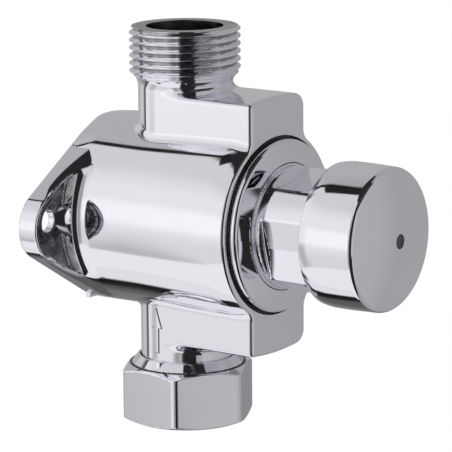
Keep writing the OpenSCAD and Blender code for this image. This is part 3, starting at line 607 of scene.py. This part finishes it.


# The pocket floor gets a rough finish and painted shade
def recessed(x, y, z):
    """Whether a point lies on the floor of a pocket."""
    off_hole = np.hypot(np.abs(x) - HOLE_X, z) > HOLE_R + 0.2
    off_wall = np.hypot(x, z) > POCKET_R + WALL_NEAR
    return in_pocket(x, z) & off_wall & off_hole & within(-y, 1.5, WALL_FOOT)


# The pocket wall gets a rougher finish and painted shade
def pocket_walled(x, y, z):
    """Whether a point lies on the pocket's wall next to the barrel."""
    on_wall = within(np.hypot(x, z), POCKET_R - WALL_NEAR, POCKET_R + 1.0)
    return in_pocket(x, z) & on_wall & within(-y, WALL_FOOT, WALL_TOP)


# The thread's roots get painted shade
def thread_roots(x, y, z):
    """Whether a point lies deep in the outlet's thread."""
    deep = within(np.hypot(x, y + PIPE_D), 10.5, THREAD_R - 0.84 * THREAD_DEEP)
    return deep & within(z, OUT_TOP - THREAD_LEN, OUT_TOP - 0.3)


# The bore gets painted shade; the end face is only darker
def bored(x, y, z):
    """Whether a point lies in the outlet's bore or on its end face."""
    rp = np.hypot(x, y + PIPE_D)
    bore = (rp < OUT_BORE_R + 0.03) & (z > OUT_FLOOR - 0.4)
    return bore | ((rp < 12.6) & (z > OUT_TOP - 0.1))


# The groove gets near-black painted shade
def grooved(x, y, z):
    """Whether a point lies in the groove round the locking ring."""
    return within(np.hypot(x, z), 20.0, 21.3) & within(-y, FRONT - 1.0, FRONT - 0.1)


# The arrow's sides get a near-black painted shadow line
def arrow_sides(x, y, z):
    """Whether a point lies on the sloping sides of the arrow."""
    raised = within(np.hypot(x, y + PIPE_D), PIPE_R + 0.02, PIPE_R + 0.2)
    return (x < -10) & raised & within(z, -33.0, -21.0) & (flow_arrow(x, y, z) < 0.05)


# The cone's foot gets a painted shade line in the crease
def nut_seam(x, y, z):
    """Whether a point lies at the foot of the union nut's cone."""
    foot_r = NUT_LAND + 0.05
    return (np.abs(np.hypot(x, y + PIPE_D) - foot_r) < 0.3) & (np.abs(z + NUT_TOP) < 0.35)


def mesh_piece(name, parts, material, nodes, body, others=()):
    """A piece that replaces CAD nodes; others lists materials with the test for the faces that get them."""
    points, normals, faces, base = [], [], [], 0
    for p, f, n, *caps in parts:
        points.append(p)
        normals.append(n)
        faces.extend((np.asarray(f) + base).tolist())
        for cap in caps[0] if caps else ():
            faces.append([q + base for q in cap])
        base += len(p)
    mesh = bpy.data.meshes.new(name)
    mesh.from_pydata((np.concatenate(points) * MM).tolist(), [], faces)
    mesh.polygons.foreach_set("use_smooth", np.ones(len(faces), bool))
    mesh.normals_split_custom_set_from_vertices(np.concatenate(normals).tolist())
    mesh.materials.append(material)
    centres = np.empty(3 * len(faces))
    mesh.polygons.foreach_get("center", centres)
    kinds = np.zeros(len(faces), int)
    for index, (other, test) in enumerate(others, 1):
        mesh.materials.append(other)
        kinds[test(*(centres.reshape(-1, 3).T / MM))] = index
    mesh.polygons.foreach_set("material_index", kinds)
    piece = bpy.data.objects.new(name, mesh)
    bpy.context.scene.collection.objects.link(piece)
    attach(piece, body)
    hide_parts(*nodes)
    return piece


# Materials
def new_material(name):
    material = bpy.data.materials.new(name)
    material.use_nodes = True
    tree = material.node_tree
    return material, tree, tree.nodes["Principled BSDF"]


def noise(tree, coords, scale, detail=3.0):
    node = tree.nodes.new("ShaderNodeTexNoise")
    node.inputs["Scale"].default_value = scale
    node.inputs["Detail"].default_value = detail
    tree.links.new(coords, node.inputs["Vector"])
    return node.outputs["Fac"]


def spread(tree, value, low, high, start=0.3, end=0.7):
    """Maps the middle of a noise's range to the range from low to high."""
    node = tree.nodes.new("ShaderNodeMapRange")
    for key, number in (("From Min", start), ("From Max", end), ("To Min", low), ("To Max", high)):
        node.inputs[key].default_value = number
    tree.links.new(value, node.inputs["Value"])
    return node.outputs["Result"]


def blend_colours(tree, factor, one, two):
    """A mix node's colour, from its sockets for colours."""
    factor_in, one_in, two_in, mixed = 0, 6, 7, 2
    node = tree.nodes.new("ShaderNodeMix")
    node.data_type = "RGBA"
    node.inputs[one_in].default_value = (*one, 1)
    node.inputs[two_in].default_value = (*two, 1)
    tree.links.new(factor, node.inputs[factor_in])
    return node.outputs[mixed]


def finish_of(name, one, two, metallic, rough, scales, relief_of):
    """A material whose colour, roughness and relief each vary with their own noise."""
    tone_scale, rough_scale, bump_scale = scales
    strength, depth = relief_of
    material, tree, shader = new_material(name)
    coords = tree.nodes.new("ShaderNodeTexCoord").outputs["Object"]
    link = tree.links.new
    shader.inputs["Metallic"].default_value = metallic
    tone = spread(tree, noise(tree, coords, tone_scale), 0, 1)
    link(blend_colours(tree, tone, one, two), shader.inputs["Base Color"])
    link(spread(tree, noise(tree, coords, rough_scale), *rough), shader.inputs["Roughness"])
    relief = tree.nodes.new("ShaderNodeBump")
    relief.inputs["Strength"].default_value = strength
    relief.inputs["Distance"].default_value = depth * MM
    link(noise(tree, coords, bump_scale, detail=4.0), relief.inputs["Height"])
    link(relief.outputs["Normal"], shader.inputs["Normal"])
    return material


# Name, two colours, metallic, roughness range, scales of tone, roughness and relief, relief's strength and mm
chrome = finish_of("chrome", (0.898, 0.889, 0.948), (0.918, 0.909, 0.968), 1, (0.035, 0.075),
                   scales=(60, 220, 90), relief_of=(0.02, 0.1))
# Pocket floors: a rough cast finish, and a near-black colour that is painted shade in the pocket
rough_cast_painted_shade = finish_of("rough cast, painted shade", (0.02, 0.02, 0.022), (0.5, 0.5, 0.53), 1, (0.22, 0.5),
                       scales=(330, 500, 900), relief_of=(0.5, 0.3))
# Pocket wall next to the barrel: a rougher finish, and a darker colour that is painted shade in the pocket
pocket_wall = finish_of("pocket wall", (0.22, 0.22, 0.23), (0.5, 0.5, 0.52), 0.35, (0.3, 0.5),
                        scales=(420, 500, 900), relief_of=(0.3, 0.2))
# Bore and outlet end face: darker raw metal; inside the bore the darkness is painted shade
bore_metal_painted_shade = finish_of("bore", (0.16, 0.16, 0.17), (0.42, 0.42, 0.44), 1, (0.15, 0.3),
                       scales=(150, 300, 400), relief_of=(0.2, 0.2))
# Near-black painted shade for the groove round the locking ring, the arrow's sides and the foot of the nut's
# cone
near_black_painted_shade = finish_of("groove", (0.008, 0.008, 0.009), (0.03, 0.03, 0.032), 0, (0.4, 0.6),
                  scales=(150, 300, 400), relief_of=(0.2, 0.2))
# Thread roots: metal darkened by painted shade deep between the crests
thread_root_painted_shade = finish_of("thread roots", (0.28, 0.28, 0.29), (0.5, 0.5, 0.51), 1, (0.12, 0.25),
                       scales=(260, 300, 500), relief_of=(0.2, 0.1))
brass = finish_of("turned brass", (0.80, 0.60, 0.30), (0.88, 0.70, 0.40), 1, (0.22, 0.38),
                  scales=(90, 700, 1800), relief_of=(0.1, 0.05))
steel = finish_of("steel", (0.58, 0.58, 0.59), (0.68, 0.68, 0.69), 1, (0.2, 0.34),
                  scales=(120, 800, 2500), relief_of=(0.1, 0.05))
dark_steel = finish_of("dark plug", (0.10, 0.10, 0.105), (0.16, 0.16, 0.165), 1, (0.3, 0.45),
                       scales=(300, 900, 2500), relief_of=(0.15, 0.05))
rubber = finish_of("rubber", (0.012, 0.012, 0.013), (0.03, 0.03, 0.031), 0, (0.5, 0.72),
                   scales=(200, 900, 2600), relief_of=(0.25, 0.08))
plastic = finish_of("acetal", (0.74, 0.73, 0.68), (0.83, 0.82, 0.77), 0, (0.32, 0.5),
                    scales=(80, 600, 1500), relief_of=(0.1, 0.05))


# Pieces that replace CAD nodes
body_part = solid(casting, (-36, -51.5, -43), (36, 1, 47), h=0.28)
arrow_part = solid(flow_arrow, (-12, -24.5, -32.6), (-10, -20.1, -21.3), h=0.08)
head_part = solid(head, (-17, -71.5, -17), (17, -42, 17), h=0.3)
nut_part = solid(nut, (-18, -42, -52), (18, -5, -32), h=0.3)
plug_part = turned(plug, (-0.02, 80), (2.5, 84.5), sides=64)
# Faces that get painted shade, some with a rougher finish as well
finishes_and_painted_shade = [(rough_cast_painted_shade, recessed), (pocket_wall, pocket_walled), (bore_metal_painted_shade, bored), (near_black_painted_shade, grooved),
                 (thread_root_painted_shade, thread_roots), (near_black_painted_shade, arrow_sides)]
body_parts = [body_part, outlet_thread(), arrow_part]
mesh_piece("casting", body_parts, chrome, ["body"], "tap", finishes_and_painted_shade)
mesh_piece("ring", [turned(locking_ring, (14, 49), (22, 54))], chrome, ["locking_ring"], "tap")
mesh_piece("head", [head_part], chrome, ["cartridge_head"], "tap")
# The nut gets a painted shade line at the foot of its cone
mesh_piece("nut", [nut_part, nut_thread()], chrome, ["union_nut"], "union", [(near_black_painted_shade, nut_seam)])
mesh_piece("button", [turned(button, (0.5, 63.5), (18.5, 85))], chrome, ["push_button"], "plunger")
mesh_piece("plug", [plug_part], dark_steel, ["button_plug"], "plunger")
spring = mesh_piece("spring", [coil()], steel, ["return_spring"], "tap")
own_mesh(spring)

# CAD nodes that keep their shape
kept = {
    brass: ("spacer_cage", "valve_seat", "valve_disc", "piston_nut"),
    steel: ("stem", "stem_circlip", "seal_retainer", "union_retaining_ring", "inlet_strainer",
            "button_screw"),
    rubber: ("ring_gasket", "head_gasket", "seat_oring", "rear_stem_seal", "front_stem_seal", "union_washer",
             "disc_washer", "piston_lip_seal"),
    plastic: ("timing_cylinder", "guide_bush", "timing_piston"),
}
for material, names in kept.items():
    for name in names:
        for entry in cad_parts[name].material_slots:
            entry.material = material


# Studio
def level(tone):
    """Linear light of a display tone from 0 to 255."""
    v = tone / 255
    return v / 12.92 if v < 0.04045 else ((v + 0.055) / 1.055) ** 2.4


# Where azimuths start, how bright chrome shows a panel, the tone of the dark, and the tent's radius
CUT, SHINE, DARK, TENT_R = -50, 0.91, 34, 3.0
# Azimuth 0 lies before the button, -90 on the camera's side and 180 behind the wall; elevation 90 is above
# Panels over the dark: azimuth from and to, elevation from and to, tone, softness of the sides and ends
PANELS = (
    (-32, 183, -91, 91, 156, 2, 1),
    (-32, 52, -40, 36, 180, 2, 14),
    (8, 60, -40, 36, 170, 14, 14),
    (45, 108, -40, 45, 158, 14, 14),
    (118, 184, -25, 60, 172, 12, 14),
    (164, 183, -18, 45, 196, 6, 10),
    (94, 114, -30, 10, 136, 6, 8),
    (95, 186, -91, -25, 118, 12, 8),
    (125, 186, -91, -40, 88, 12, 6),
    (152, 186, -91, -47, 24, 7, 5),
    (-45, 30, 38, 91, 56, 3, 3),
    (-45, -18, -91, -16, 36, 2, 3),
    (-166, -69, -91, 91, 213, 2, 1),
    (-166, -69, -15, 34, 228, 2, 10),
    (-88, -69, -40, 45, 150, 8, 14),
    (-136, -90, -8, 13, 244, 10, 5),
    (-152, -135, -38, -10, 178, 5, 6),
    (-178, -69, 42, 91, 205, 1.5, 5),
    (-110, -50, 56, 91, 110, 20, 4),
    (-163, -69, -91, -36.5, 230, 4, 1),
    (172, 197, -91, -46, 222, 3, 3),
    (175, 215, 54.9, 91, 34, 7, 0.7),
    (-158, -69, 48, 91, 205, 2, 4),
    (175.5, 183, 38, 91, 30, 1.5, 4),
    (-50, 309.9, 63, 91, 38, 0.01, 2),
)


def light_tent(panels):
    """Pale panels and dark gaps round the tap, which only reflections see, as chrome is photographed."""
    mesh = bpy.data.meshes.new("light_tent")
    shape = bmesh.new()
    bmesh.ops.create_uvsphere(shape, u_segments=96, v_segments=48, radius=TENT_R)
    shape.to_mesh(mesh)
    shape.free()
    tent = bpy.data.objects.new("light_tent", mesh)
    bpy.context.scene.collection.objects.link(tent)
    tent.visible_camera = tent.visible_diffuse = tent.visible_shadow = False
    material = bpy.data.materials.new("light_tent")
    material.use_nodes = True
    tree = material.node_tree
    tree.nodes.clear()
    link = tree.links.new

    def sums(operation, a, b=None):
        node = tree.nodes.new("ShaderNodeMath")
        node.operation = operation
        for slot, value in enumerate((a, b)):
            if isinstance(value, (int, float)):
                node.inputs[slot].default_value = value
            elif value is not None:
                link(value, node.inputs[slot])
        return node.outputs[0]

    place = tree.nodes.new("ShaderNodeTexCoord").outputs["Object"]
    unit = tree.nodes.new("ShaderNodeVectorMath")
    unit.operation = "NORMALIZE"
    link(place, unit.inputs[0])
    split = tree.nodes.new("ShaderNodeSeparateXYZ")
    link(unit.outputs[0], split.inputs[0])
    x, y, z = split.outputs
    azimuth = sums("MULTIPLY", sums("ARCTAN2", x, sums("MULTIPLY", y, -1.0)), 180 / math.pi)
    azimuth = sums("FLOORED_MODULO", sums("SUBTRACT", azimuth, CUT), 360.0)
    elevation = sums("MULTIPLY", sums("ARCSINE", z), 180 / math.pi)

    def rise(value, at, soft):
        node = tree.nodes.new("ShaderNodeMapRange")
        node.interpolation_type = "SMOOTHSTEP"
        node.inputs["From Min"].default_value = at - soft
        node.inputs["From Max"].default_value = at + soft
        link(value, node.inputs["Value"])
        return node.outputs["Result"]

    light = level(DARK) / SHINE
    for a0, a1, e0, e1, tone, side, end in panels:
        start, stop = (a0 - CUT) % 360, (a1 - CUT) % 360
        across = sums("SUBTRACT", rise(azimuth, start, side), rise(azimuth, stop, side))
        up = sums("SUBTRACT", rise(elevation, e0, end), rise(elevation, e1, end))
        mask = sums("MULTIPLY", across, up)
        mix = tree.nodes.new("ShaderNodeMix")
        factor, below, above = mix.inputs[0], mix.inputs[2], mix.inputs[3]
        link(mask, factor)
        if isinstance(light, float):
            below.default_value = light
        else:
            link(light, below)
        above.default_value = level(tone) / SHINE
        light = mix.outputs[0]
    glow = tree.nodes.new("ShaderNodeEmission")
    link(light, glow.inputs["Strength"])
    out = tree.nodes.new("ShaderNodeOutputMaterial")
    link(glow.outputs[0], out.inputs["Surface"])
    material.cycles.emission_sampling = "NONE"
    mesh.materials.append(material)


def backdrop():
    """A white world behind the tap."""
    world = bpy.data.worlds.new("world")
    world.use_nodes = True
    world.node_tree.nodes["Background"].inputs["Color"].default_value = (1, 1, 1, 1)
    bpy.context.scene.world = world


def floor():
    """A pale floor, well below the tap, which hangs on its wall."""
    mesh = bpy.data.meshes.new("floor")
    wide, below = 60.0, -1.0
    corners = [(x, y, below) for x, y in ((-wide, -wide), (wide, -wide), (wide, wide), (-wide, wide))]
    mesh.from_pydata(corners, [], [(0, 1, 2, 3)])
    piece = bpy.data.objects.new("floor", mesh)
    bpy.context.scene.collection.objects.link(piece)
    material, tree, shader = new_material("floor")
    shader.inputs["Base Color"].default_value = (1, 1, 1, 1)
    shader.inputs["Roughness"].default_value = 0.9
    shader.inputs["Specular IOR Level"].default_value = 0.0
    mesh.materials.append(material)
    piece.visible_glossy = False


def lamp():
    """One soft lamp from the upper left, which the chrome doesn't show."""
    wide, watts, place = 1.2, 12, Vector((-1.2, -0.9, 1.3))
    data = bpy.data.lights.new("softbox", "AREA")
    data.shape = "SQUARE"
    data.size = wide
    data.energy = watts
    light = bpy.data.objects.new("softbox", data)
    bpy.context.scene.collection.objects.link(light)
    light.location = place
    light.rotation_euler = (-place).to_track_quat("-Z", "Y").to_euler()
    light.visible_glossy = False


light_tent(PANELS)
backdrop()
floor()
lamp()

bpy.context.scene.view_settings.view_transform = "Standard"
